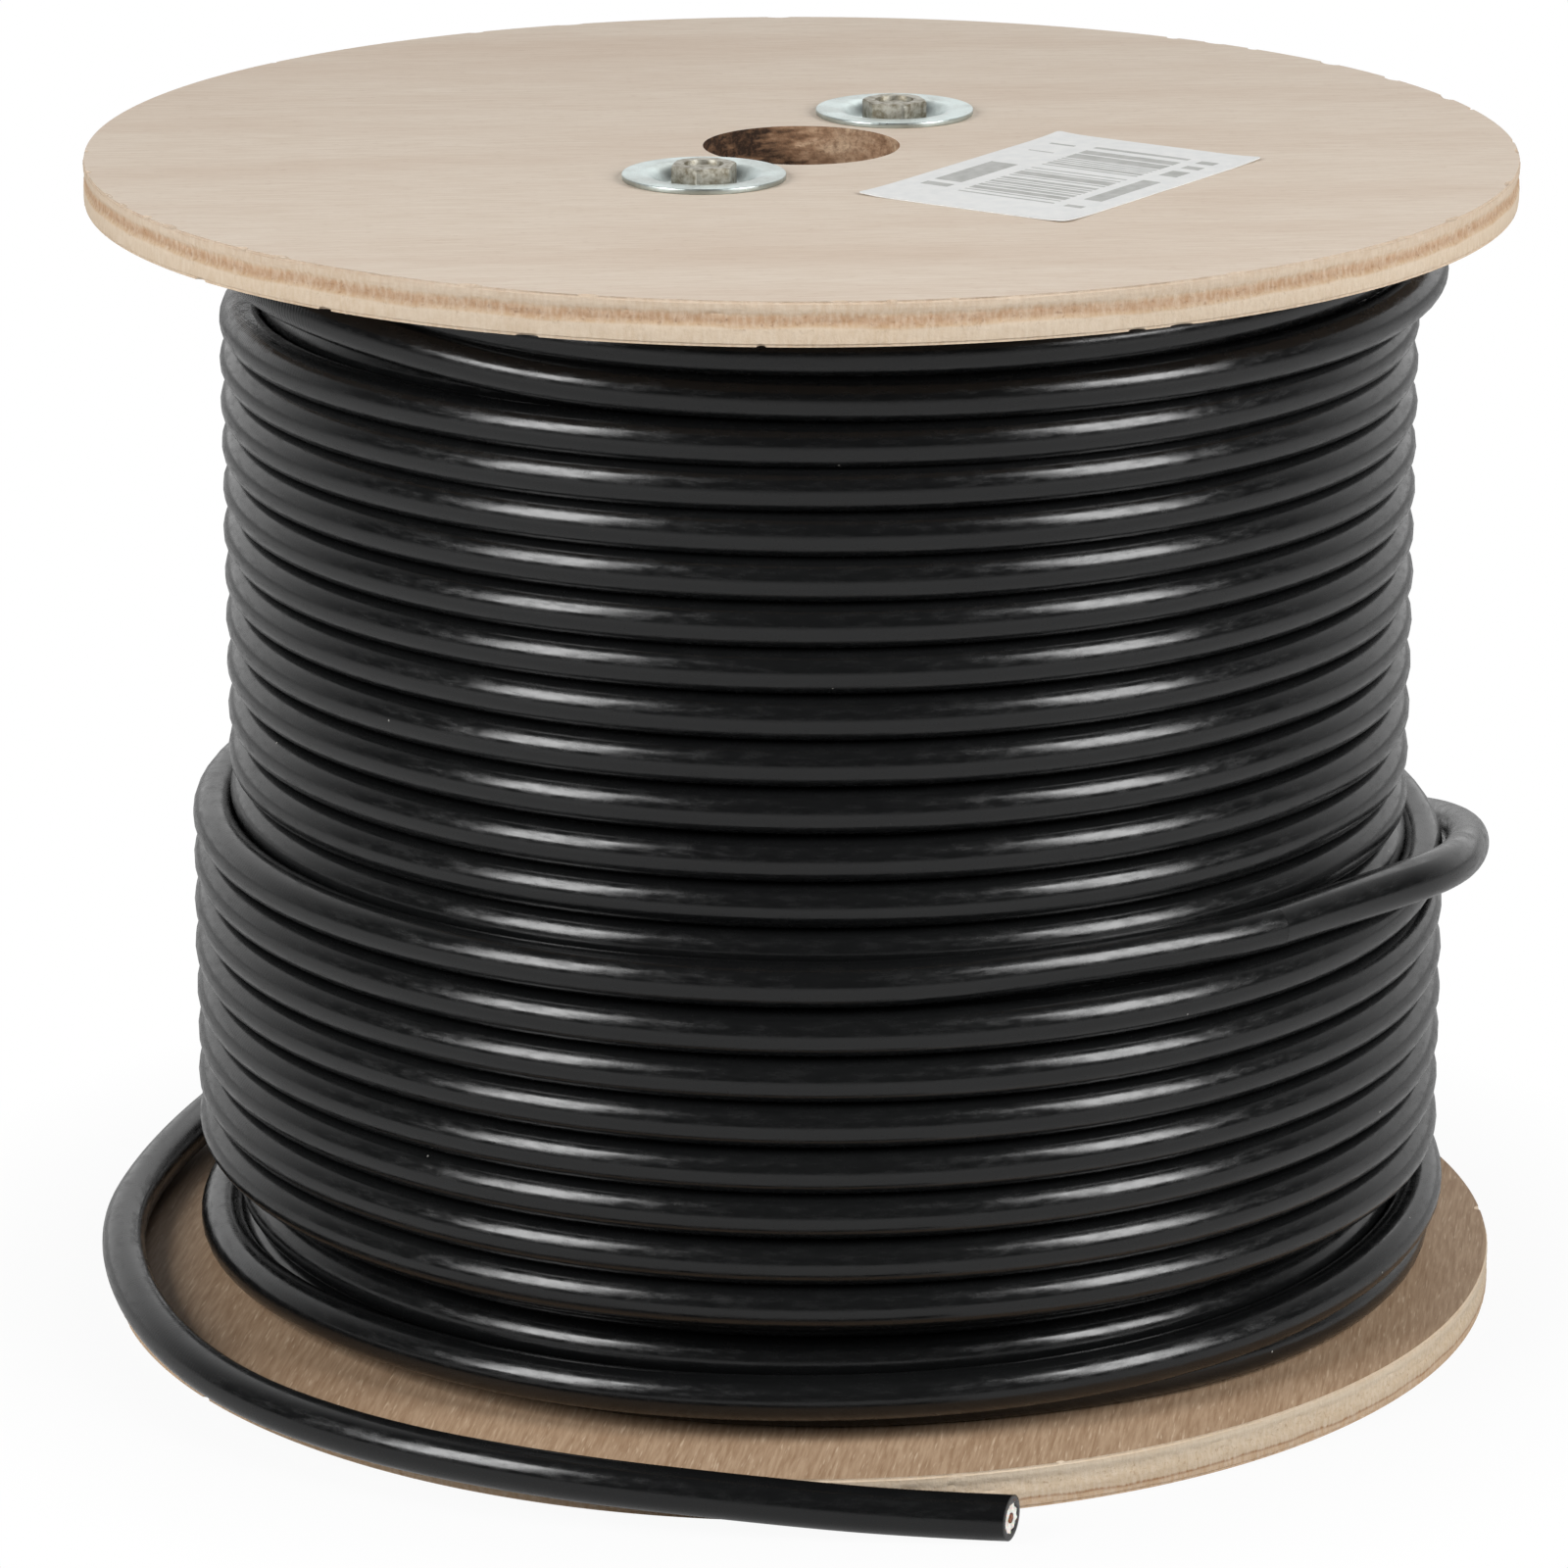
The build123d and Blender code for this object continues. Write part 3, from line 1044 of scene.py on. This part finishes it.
@dataclass
class Winding:
    """The wound cable: the last full layer, the loose layer on it, and what shows of the layers inside.

    A station is an angle in degrees about the winding's axis, more than 360 for later turns, with
    the radius and the height of the cable's centre there.
    """

    layer_radius: float = 129.62
    loose_radius: float = 138.19
    inner_radius: float = 121.05
    layer_step: float = 8.57
    points_per_turn: int = 24
    wobble: float = 0.3
    crossing: Pair = (62.0, 122.0)
    front_heights: tuple[float, ...] = (
        14.8, 25.1, 35.4, 45.7, 56.0, 66.3, 76.6, 86.9, 97.2, 107.5, 117.6, 127.5, 137.7,
        148.2, 158.6, 168.9, 179.0, 189.0, 198.8, 208.5, 218.1, 227.6, 237.1, 246.9,
    )
    upper_bends: tuple[Point, ...] = (
        (90, 121.5, 245.0), (180, 125.6, 249.6), (215, 128.6, 249.0), (255, 129.62, 246.9),
        (360, 129.62, 246.9), (450, 131.5, 248.2), (540, 134.6, 249.3), (575, 132.6, 244.0),
        (610, 129.62, 238.0), (650, 129.62, 237.1), (690, 132.6, 237.3), (730, 137.3, 237.8),
        (785, 132.5, 236.0), (842, 129.62, 227.6),
    )
    lower_bends: tuple[Point, ...] = (
        (285, 129.62, 14.8), (322, 136.6, 14.7), (450, 138.6, 14.6), (540, 138.6, 15.4),
        (600, 138.19, 18.6), (640, 138.19, 19.95), (672, 138.6, 21.2), (708, 140.0, 24.8),
        (800, 139.4, 33.5), (872, 138.19, 40.3),
    )
    loose_heights: tuple[float, ...] = (40.3, 50.7, 61.0, 71.2, 81.4, 91.7, 102.1)
    lifted_height: float = 112.65
    leaves_at: float = 315.0

    def spot(self, angle: float, radius: float, height: float, seed: float, wobble: float) -> Point:
        """Control point about the winding's axis, a little off its true place.

        Args:
            angle: degrees about the axis.
            radius: distance of the cable's centre from the axis.
            height: height of the cable's centre.
            seed: shifts the random part.
            wobble: largest error.

        Returns:
            The point, moved out so that the spline lies at the radius.
        """
        swell = 1 / ((2 + math.cos(2 * math.pi / self.points_per_turn)) / 3)
        off = noise.noise_vector(Vector((angle / 47.0, seed, 0.37)))
        reach = (radius + off.x * wobble) * swell
        a = math.radians(angle)
        return (DRUM_AXIS_OFFSET + reach * math.cos(a), reach * math.sin(a), height + off.y * wobble)

    def through(self, stations: list[Point], seed: float, wobble: float | None = None) -> list[Point]:
        """Control points that pass smoothly through stations.

        Args:
            stations: the stations, in order of angle.
            seed: shifts the random part.
            wobble: largest error, or None for the winding's own.

        Returns:
            Control points, equally spaced in angle.
        """
        wobble = self.wobble if wobble is None else wobble
        first, last = stations[0][0], stations[-1][0]
        count = max(2, round((last - first) * self.points_per_turn / 360.0))
        points = []
        for i in range(count + 1):
            angle = first + (last - first) * i / count
            for (a0, r0, z0), (a1, r1, z1) in zip(stations, stations[1:]):
                if a0 <= angle <= a1 + 1e-6:
                    t = (angle - a0) / (a1 - a0)
                    t = t * t * (3 - 2 * t)
                    radius, height = r0 + (r1 - r0) * t, z0 + (z1 - z0) * t
                    points.append(self.spot(angle, radius, height, seed, wobble))
                    break
        return points

    def outer_cable(self) -> Object:
        """The cable that shows, in one length.

        The last full layer goes from the top down, and each turn steps down behind the reel. The loose
        layer starts along the lower flange, climbs to its first turn, and goes up turn by turn to the
        place where the free end leaves.

        Returns:
            The mesh object.
        """
        r, stations = self.layer_radius, list(self.upper_bends)
        over, behind = self.crossing
        heights = self.front_heights[-3::-1]
        for turn, (height, lower) in enumerate(zip(heights, heights[1:]), start=3):
            stations += [(360.0 * turn + over, r, height), (360.0 * turn + behind, r, lower)]
        start, r = 360.0 * (len(heights) + 1), self.loose_radius
        stations += [(start + angle, radius, height) for angle, radius, height in self.lower_bends]
        heights = self.loose_heights
        for turn, (height, higher) in enumerate(zip(heights, heights[1:]), start=3):
            angle = start + 360.0 * turn
            stations += [(angle + over, r, height), (angle + behind, r, higher)]
        start += 360.0 * 8
        joint = (start + 460.0, r, self.lifted_height - 0.4)
        stations += [(start + self.leaves_at, r, heights[-1]), joint]
        points = self.through(sorted(stations, key=lambda station: station[0]), 3.1)
        level = [(start + angle, r, self.lifted_height) for angle in (505.0, 360.0 + self.leaves_at)]
        points += self.through([joint, *level], 3.1, 0.0)[1:]
        a = math.radians(self.leaves_at)
        end = (DRUM_AXIS_OFFSET + r * math.cos(a), r * math.sin(a), self.lifted_height)
        reach = 2 * math.pi * r / self.points_per_turn / 3
        points[-2:] = [(end[0] + reach * math.sin(a), end[1] - reach * math.cos(a), end[2]), end]
        return Strand("winding_outer_cable", points).tube()

    def inner_layer(self) -> Object:
        """The layer under the last full one, seen in gaps between its turns."""
        r = self.inner_radius
        middles = [(low + high) / 2 for low, high in zip(self.front_heights, self.front_heights[1:])]
        stations = [(0.0, r, middles[0])]
        for turn, (low, high) in enumerate(zip(middles, middles[1:])):
            stations += [(360.0 * turn + 230.0, r, low), (360.0 * turn + 300.0, r, high)]
        stations.append((360.0 * len(middles), r, middles[-1]))
        return Strand("winding_inner_layer", self.through(stations, 1.9), steps=3, sides=12).tube()

    def end_spiral(self, name: str, height: float, nested: float, seed: float) -> Object:
        """Ends of the inner layers, next to a flange, as one flat spiral.

        Args:
            name: name of the piece.
            height: height of the turns next to the flange.
            nested: height of the turns that lie in the grooves between those.
            seed: shifts the random part.

        Returns:
            The mesh object.
        """
        stations = []
        for layer in range(4):
            radius = self.inner_radius - self.layer_step * (layer + 1)
            level = height if layer % 2 == 0 else nested
            stations += [(360.0 * layer + 20.0, radius, level), (360.0 * layer + 320.0, radius, level)]
        return Strand(name, self.through(stations, seed), steps=3, sides=12).tube()

    def build(self) -> None:
        """Wind every layer and dress it."""
        pieces = [
            self.outer_cable(), self.inner_layer(),
            self.end_spiral("winding_upper_ends", 246.9, 241.9, 2.2),
            self.end_spiral("winding_lower_ends", 14.8, 19.9, 6.4),
        ]
        for piece in pieces:
            ExtrudedPvc().dress(piece)
            part_of_object(piece, Slot.JACKET, "winding")


@dataclass
class FreeEnd:
    """The cable's loose end: round behind the winding and along the bottom flange to its cut end."""

    start: Point = (101.72, -97.72, 112.65)
    first_run: float = 29.0
    route: tuple[Point, ...] = (
        (143.3, -54.6, 112.2), (151.6, -22.0, 107.2), (153.6, 12.5, 101.4), (146.6, 50.5, 93.0),
        (124.5, 93.0, 82.0), (86.5, 128.5, 70.5), (36.0, 149.5, 59.0), (-17.5, 151.5, 47.5),
        (-69.5, 136.5, 36.0), (-111.0, 107.5, 24.8), (-139.0, 67.5, 16.6), (-153.2, 22.0, 14.6),
        (-157.6, -23.3, 15.0), (-147.5, -71.9, 13.4), (-126.6, -109.4, 10.6), (-94.0, -138.5, 9.9),
        (-54.0, -158.5, 9.9), (-12.0, -167.0, 8.2), (22.0, -168.2, 5.3), (44.4, -170.2, 5.2),
    )
    length: float = 909.0
    cut_slant: float = 17.0
    lip: tuple[Pair, ...] = ((0.97, -0.05), (0.96, -0.05), (0.9, 0.03), (0.87, 0.05), (0.97, 0.1),
                             (0.99, 1.0))
    lip_radius: float = 4.2
    braid_radius: float = 4.05
    braid_wires: int = 44
    wire_radius: float = 0.2
    dielectric_radius: float = 3.625
    conductor_radius: float = 1.13
    path: list[Vector] = field(default_factory=list)

    def end_place(self) -> Matrix:
        """Place of the cut end: its local Z points out of the cable."""
        last, before = Vector(self.route[-1]), Vector(self.route[-2])
        along = (last - before).normalized()
        turn = along.to_track_quat("Z", "Y").to_matrix().to_4x4()
        return Matrix.Translation(last / 1000.0) @ turn

    def slant(self, piece: Object, place: Matrix, fade: float) -> None:
        """Slant the cut towards the side that faces away from the reel.

        Args:
            piece: the object whose end is slanted.
            place: the cut end's place in the object's coordinates.
            fade: how far back from the end the shift dies out.
        """
        back = place.inverted()
        for vertex in piece.data.vertices:
            local = back @ vertex.co
            if local.z > -mm(fade) and local.xy.length < mm(7):
                share = min(1.0, 1.0 + local.z / mm(fade))
                local.z += local.x * math.tan(math.radians(self.cut_slant)) * share
                vertex.co = place @ local

    def jacket(self) -> Object:
        """The jacket as a tube whose cut end turns in to the braid."""
        run = self.first_run * math.sqrt(0.5)
        second = (self.start[0] + run, self.start[1] + run, self.start[2])
        points = [self.start, second, *self.route]
        strand = Strand("cable_free_end", points, order=3, steps=12, sides=32)
        self.path = strand.centreline()
        piece = strand.tube()
        end = self.end_place()
        tip, out = end.translation, end.to_3x3() @ Vector((0, 0, 1))
        select_parts(piece, "VERT", lambda v: v.is_boundary and (v.co - tip).length < mm(7))
        for shrink, back in self.lip:
            bpy.ops.mesh.extrude_region_move()
            bpy.ops.transform.resize(value=(shrink,) * 3, center_override=tip)
            bpy.ops.transform.translate(value=-out * mm(back))
        deselect()
        for vertex in piece.data.vertices:
            if (vertex.co - tip).length < mm(self.lip_radius):
                pull = 0.92 + 0.16 * noise.noise(vertex.co * 450)
                vertex.co = tip + (vertex.co - tip) * pull
        self.slant(piece, end, 9.0)
        smooth(piece, 50)
        part_of_object(piece, Slot.JACKET, "cable_tail")
        return piece

    def braid(self) -> Object:
        """Cut ends of the braid's wires: one wire modelled, the rest copied round."""
        dice = random.Random(11)
        wire = cylinder("cut_braid", self.wire_radius, -4.5, 4.5, 8)
        edit(wire, "FACE", faces_up, partial(bpy.ops.mesh.bevel, offset=mm(0.05), segments=1))
        radius = (self.braid_radius + self.dielectric_radius) / 2
        wires = []
        for i in range(self.braid_wires):
            a = 2 * math.pi * i / self.braid_wires + dice.uniform(-0.05, 0.05)
            place = moved(radius * math.cos(a), radius * math.sin(a), -4.55 + dice.uniform(-0.3, 0.2))
            wires.append(copied(wire, f"wire_{i}", place))
        discard(wire)
        return joined(wires, "cut_braid")

    def core(self) -> list[Object]:
        """Dielectric with a knife-cut uneven face, and the centre conductor in it."""
        foam = cylinder("cut_dielectric", self.dielectric_radius, -12.05, -0.05, 64)
        rings = [partial(bpy.ops.mesh.inset, thickness=mm(width)) for width in (0.35, 0.75, 0.75, 0.75)]
        edit(foam, "FACE", faces_up, *rings)
        for vertex in foam.data.vertices:
            if vertex.co.z > mm(-0.2):
                vertex.co.z += mm(0.35) * (noise.noise(vertex.co * 700) - 0.2)
                if vertex.co.xy.length > mm(2.6):
                    pull = 0.93 + 0.1 * noise.noise(vertex.co * 600 + Vector((3, 0, 0)))
                    vertex.co.xy = vertex.co.xy * pull
        smooth(foam, 40)
        wire = cylinder("cut_conductor", self.conductor_radius, -11.9, 0.1, 32)
        edit(wire, "FACE", faces_up, partial(bpy.ops.mesh.bevel, offset=mm(0.15), segments=2))
        smooth(wire, 40)
        return [foam, wire]

    def build(self) -> None:
        jacket = self.jacket()
        ExtrudedPvc().dress(jacket)
        place = self.end_place()
        inside = [self.braid(), *self.core()]
        for piece in inside:
            self.slant(piece, Matrix.Identity(4), 8.0)
            seat(piece, place)
        roles = ((Copper(), Slot.BRAID, "tail_braid"),
                 (FoamPolyethylene(), Slot.DIELECTRIC, "tail_dielectric"),
                 (Copper(), Slot.COPPER, "tail_conductor"))
        for piece, (finish, slot, node) in zip(inside, roles):
            finish.dress(piece)
            part_of_object(piece, slot, node)


# The drum


@dataclass
class Flange:
    """One round plywood board with its bore, its cup holes and a sawn, chipped rim."""

    name: str
    bottom: float
    upper_face: PeeledVeneer
    lower_face: PeeledVeneer
    edge: SawnPlyEdge
    radius: float = 160.0
    bore_radius: float = 22.0
    cup_hole_radius: float = 13.2
    recess: Pair | None = None
    rim_sides: int = 900
    rim_rows: int = 13
    corner: float = 0.45
    roughness: tuple[tuple[str, float, float], ...] = (
        ("rim", 2.2, 0.3), ("rim", 30.0, 0.25), ("belt", 1.1, 0.7), ("brink", 2.6, 0.45),
    )
    chips: int = 44
    chip_places: int = 80
    seed: int = 5

    def board(self) -> Object:
        """Saw the board: disc, rough rim, chips, bore and holes."""
        low, high = self.bottom, self.bottom + BOARD_THICKNESS
        piece = cylinder(self.name, self.radius, low, high, self.rim_sides)
        edit(piece, "EDGE", lambda e: abs(e.verts[0].co.z - e.verts[1].co.z) > mm(1),
             partial(bpy.ops.mesh.subdivide, number_cuts=self.rim_rows))
        inner_low, inner_high = mm(low) + mm(0.1), mm(high) - mm(0.1)
        edit(piece, "EDGE", lambda e: is_level(e) and not inner_low < e.verts[0].co.z < inner_high,
             partial(bpy.ops.mesh.bevel, offset=mm(self.corner), segments=2))
        rim, belt, brink = (piece.vertex_groups.new(name=name) for name in ("rim", "belt", "brink"))
        for vertex in piece.data.vertices:
            share = (vertex.co.z * 1000 - low) / BOARD_THICKNESS
            if vertex.co.xy.length > mm(self.radius - 0.3):
                rim.add([vertex.index], 1.0, "REPLACE")
                if 0.45 < share < 0.75:
                    belt.add([vertex.index], 1.0, "REPLACE")
                if not 0.06 < share < 0.94:
                    brink.add([vertex.index], 1.0, "REPLACE")
        for group, size, depth in self.roughness:
            grain = bpy.data.textures.new(f"{self.name}_{group}", "CLOUDS")
            grain.noise_scale = mm(size)
            grain.noise_depth = 2
            apply_modifier(piece, "DISPLACE", texture=grain, vertex_group=group, strength=mm(depth),
                           mid_level=1.0, texture_coords="LOCAL")
        cut(piece, self.splinters())
        cut(piece, cylinder("bore_tool", self.bore_radius, low - 2, high + 2, 160))
        for at in BOLT_PLACES:
            cut(piece, cylinder("cup_tool", self.cup_hole_radius, low - 2, high + 2, 96, at))
            if self.recess:
                radius, depth = self.recess
                cut(piece, cylinder("recess_tool", radius, low - 2, low + depth, 96, at))
        return piece

    def splinters(self) -> Object:
        """Small flat lumps along the rim's upper and lower edges, which cut its chips."""
        dice = random.Random(self.seed)
        splinters = []
        for i, place_number in enumerate(dice.sample(range(self.chip_places), self.chips)):
            angle = 2 * math.pi * (place_number + dice.uniform(0.35, 0.65)) / self.chip_places
            upper = dice.random() < 0.7
            height = self.bottom + (BOARD_THICKNESS + 0.05 if upper else -0.05)
            deselect()
            bpy.ops.mesh.primitive_ico_sphere_add(subdivisions=2, radius=mm(1.0))
            splinter = new_piece(f"splinter_{i}")
            bpy.ops.transform.resize(value=(dice.uniform(0.9, 1.9), dice.uniform(1.0, 3.6),
                                            dice.uniform(0.4, 0.95)))
            settle()
            for vertex in splinter.data.vertices:
                vertex.co += noise.noise_vector(vertex.co * 900 + Vector((i, 0, 0))) * mm(0.1)
            reach = self.radius - 0.1
            place = moved(reach * math.cos(angle), reach * math.sin(angle), height)
            splinters.append(seat(splinter, place @ Matrix.Rotation(angle, 4, "Z")))
        return joined(splinters, "splinters")

    def build(self) -> None:
        """Saw the board and dress its faces, rim and holes each in its own finish."""
        piece = self.board()
        for finish in (self.upper_face, self.lower_face, self.edge, DrilledWood()):
            piece.data.materials.append(finish.material())
        low, high = mm(self.bottom), mm(self.bottom + BOARD_THICKNESS)
        for face in piece.data.polygons:
            if face.normal.z > 0.9 and face.center.z > high - mm(0.2):
                face.material_index = 0
            elif face.normal.z < -0.9 and face.center.z < low + mm(0.2):
                face.material_index = 1
            else:
                face.material_index = 2 if face.center.xy.length > mm(120) else 3
        smooth(piece, 40)
        for face in piece.data.polygons:
            face.use_smooth = face.material_index > 1
        part_of_object(piece, Slot.PLYWOOD, self.name)


@dataclass
class Fixings:
    """Dished washers and galvanised nuts; the CAD's bolts are kept and dressed."""

    washer_radius: float = 17.98
    sheet: float = 1.3
    cup: tuple[Pair, ...] = (
        (17.4, 0.0), (16.2, 0.0), (14.2, 0.0), (12.9, 0.08), (12.1, 0.4), (11.4, 1.1), (10.8, 2.0),
        (10.2, 2.9), (9.5, 3.35), (8.6, 3.5), (6.5, 3.5), (4.4, 3.5),
    )
    across_flats: float = 13.0
    nut_height: float = 6.8
    nut_bore: float = 4.35
    nut_seat: float = 261.0
    nut_turns: Pair = (17.0, 49.0)
    underside_recess: float = 2.0

    def washer(self) -> Object:
        """One washer about Z, its rim's underside on z = 0 and its cup below."""
        deselect()
        radius, height = self.washer_radius, self.sheet / 2
        bpy.ops.mesh.primitive_circle_add(vertices=128, radius=mm(radius), fill_type="NOTHING",
                                          location=(0, 0, mm(height)))
        piece = new_piece("cup_washer")
        select_parts(piece, "EDGE", lambda e: True)
        for next_radius, depth in self.cup:
            next_height = self.sheet / 2 - depth
            bpy.ops.mesh.extrude_region_move()
            bpy.ops.transform.resize(value=(next_radius / radius, next_radius / radius, 1.0),
                                     center_override=(0, 0, 0))
            bpy.ops.transform.translate(value=(0, 0, mm(next_height - height)))
            radius, height = next_radius, next_height
        bpy.ops.mesh.select_all(action="SELECT")
        bpy.ops.mesh.normals_make_consistent(inside=False)
        apply_modifier(piece, "SOLIDIFY", thickness=mm(self.sheet - 0.06), offset=0.0,
                       use_even_offset=False)
        apply_modifier(piece, "BEVEL", width=mm(0.25), segments=3, limit_method="ANGLE",
                       angle_limit=math.radians(50))
        smooth(piece, 60)
        return piece

    def nut(self) -> Object:
        """One nut about Z from z = 0 up: hexagon cut by a round crown, bored, corners worn."""
        corner = self.across_flats / math.sqrt(3)
        piece = cylinder("hexagon_nut", corner, 0.0, self.nut_height, 6)
        crown = cylinder("crown", corner, 0.0, self.nut_height, 96)
        edit(crown, "EDGE", is_level, partial(bpy.ops.mesh.bevel, offset=mm(0.75), segments=3))
        cut(piece, crown, "INTERSECT")
        cut(piece, cylinder("bore", self.nut_bore, -10, 10, 64))
        apply_modifier(piece, "BEVEL", width=mm(0.22), segments=2, limit_method="ANGLE",
                       angle_limit=math.radians(25))
        smooth(piece, 30)
        return piece

    def build(self) -> None:
        """Press the washers, screw on the nuts, and dress the bolts."""
        washer, nut = self.washer(), self.nut()
        for letter, (x, y), turn in zip("ab", BOLT_PLACES, self.nut_turns):
            upper = copied(washer, f"cup_washer_upper_{letter}", moved(x, y, DRUM_HEIGHT))
            lower = copied(washer, f"cup_washer_lower_{letter}",
                           moved(x, y, self.underside_recess) @ turned(180, "X"))
            top = copied(nut, f"hexagon_nut_{letter}", moved(x, y, self.nut_seat) @ turned(turn))
            for piece, finish, slot, node in ((upper, ZincPlate(), Slot.ZINC, "cup_washer_top"),
                                              (lower, ZincPlate(), Slot.ZINC, "cup_washer_bottom"),
                                              (top, HotDipZinc(), Slot.STEEL, "nut")):
                finish.dress(piece)
                part_of_object(piece, slot, f"{node}_{letter}")
            HotDipZinc().dress(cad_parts[f"bolt_{letter}"])
        discard(washer, nut)


@dataclass
class Label:
    """Paper label on the upper flange, with its corners a little lifted."""

    length: float = 82.0
    width: float = 53.0
    thickness: float = 0.18
    corner_radius: float = 1.2
    lift: float = 0.45

    def build(self) -> None:
        """Cut the label, curl it slightly, stick it on and dress it."""
        deselect()
        bpy.ops.mesh.primitive_plane_add(size=1.0)
        piece = new_piece("paper_label")
        bpy.ops.transform.resize(value=(mm(self.length), mm(self.width), 1))
        settle()
        edit(piece, "FACE", lambda f: True, partial(bpy.ops.mesh.subdivide, number_cuts=24))
        edit(piece, "VERT", lambda v: len(v.link_edges) == 2,
             partial(bpy.ops.mesh.bevel, offset=mm(self.corner_radius), segments=4, affect="VERTICES"))
        for vertex in piece.data.vertices:
            along = abs(vertex.co.x) / mm(self.length / 2)
            across = abs(vertex.co.y) / mm(self.width / 2)
            ripple = mm(0.03) * (1 + noise.noise(vertex.co * 90))
            vertex.co.z += mm(self.lift) * along**8 * across**8 + ripple
        apply_modifier(piece, "SOLIDIFY", thickness=mm(self.thickness), offset=1.0)
        seat(piece, moved(*LABEL_CENTRE, DRUM_HEIGHT + 0.01) @ turned(LABEL_TURN))
        smooth(piece, 40)
        ThermalLabelPaper().dress(piece)
        part_of_object(piece, Slot.PAPER, "label")


@dataclass
class Drum:
    """Two flanges, the barrel between them, the fixings and the label."""

    outer_veneer: PeeledVeneer = PeeledVeneer()
    inner_veneer: PeeledVeneer = PeeledVeneer(
        name="peeled_veneer_inner", light="#b59a7f", mid="#987b60", cloud="#86694f", pore="#cfb89e",
        grain_turn=82.0, fibre_size=(9.0, 0.7), cloud_strength=0.3, pore_size=(6.0, 0.55),
        pore_share=0.7,
    )
    upper_edge: SawnPlyEdge = SawnPlyEdge(bottom=DRUM_HEIGHT - BOARD_THICKNESS)
    lower_edge: SawnPlyEdge = SawnPlyEdge(
        name="sawn_ply_edge_lower",
        bands=((0.0, "#b79c80"), (0.2, "#bca388"), (0.25, "#94704f"), (0.3, "#beac95"),
               (0.5, "#c2b19a"), (0.72, "#c8b9a4"), (0.86, "#cdc0ad"), (1.0, "#cab9a3")),
        speck="#8e7252",
    )

    def build(self) -> None:
        """Build and dress the drum's pieces."""
        Flange("flange_top", DRUM_HEIGHT - BOARD_THICKNESS, self.outer_veneer, self.inner_veneer,
               self.upper_edge).build()
        Flange("flange_bottom", 0.0, self.inner_veneer, self.outer_veneer, self.lower_edge,
               recess=(18.3, 2.0), chips=16, seed=9).build()
        Fixings().build()
        Label().build()
        WoundCardboard().dress(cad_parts["barrel"])


def main() -> None:
    """Build the scene in order."""
    logging.basicConfig(level=logging.INFO, format="%(message)s")
    # Without a seed, mathutils starts its noise vectors from the clock.
    noise.seed_set(NOISE_SEED)
    for part in (Studio(), FreeEnd(), Winding(), Drum()):
        part.build()


if __name__ == "__main__":
    main()
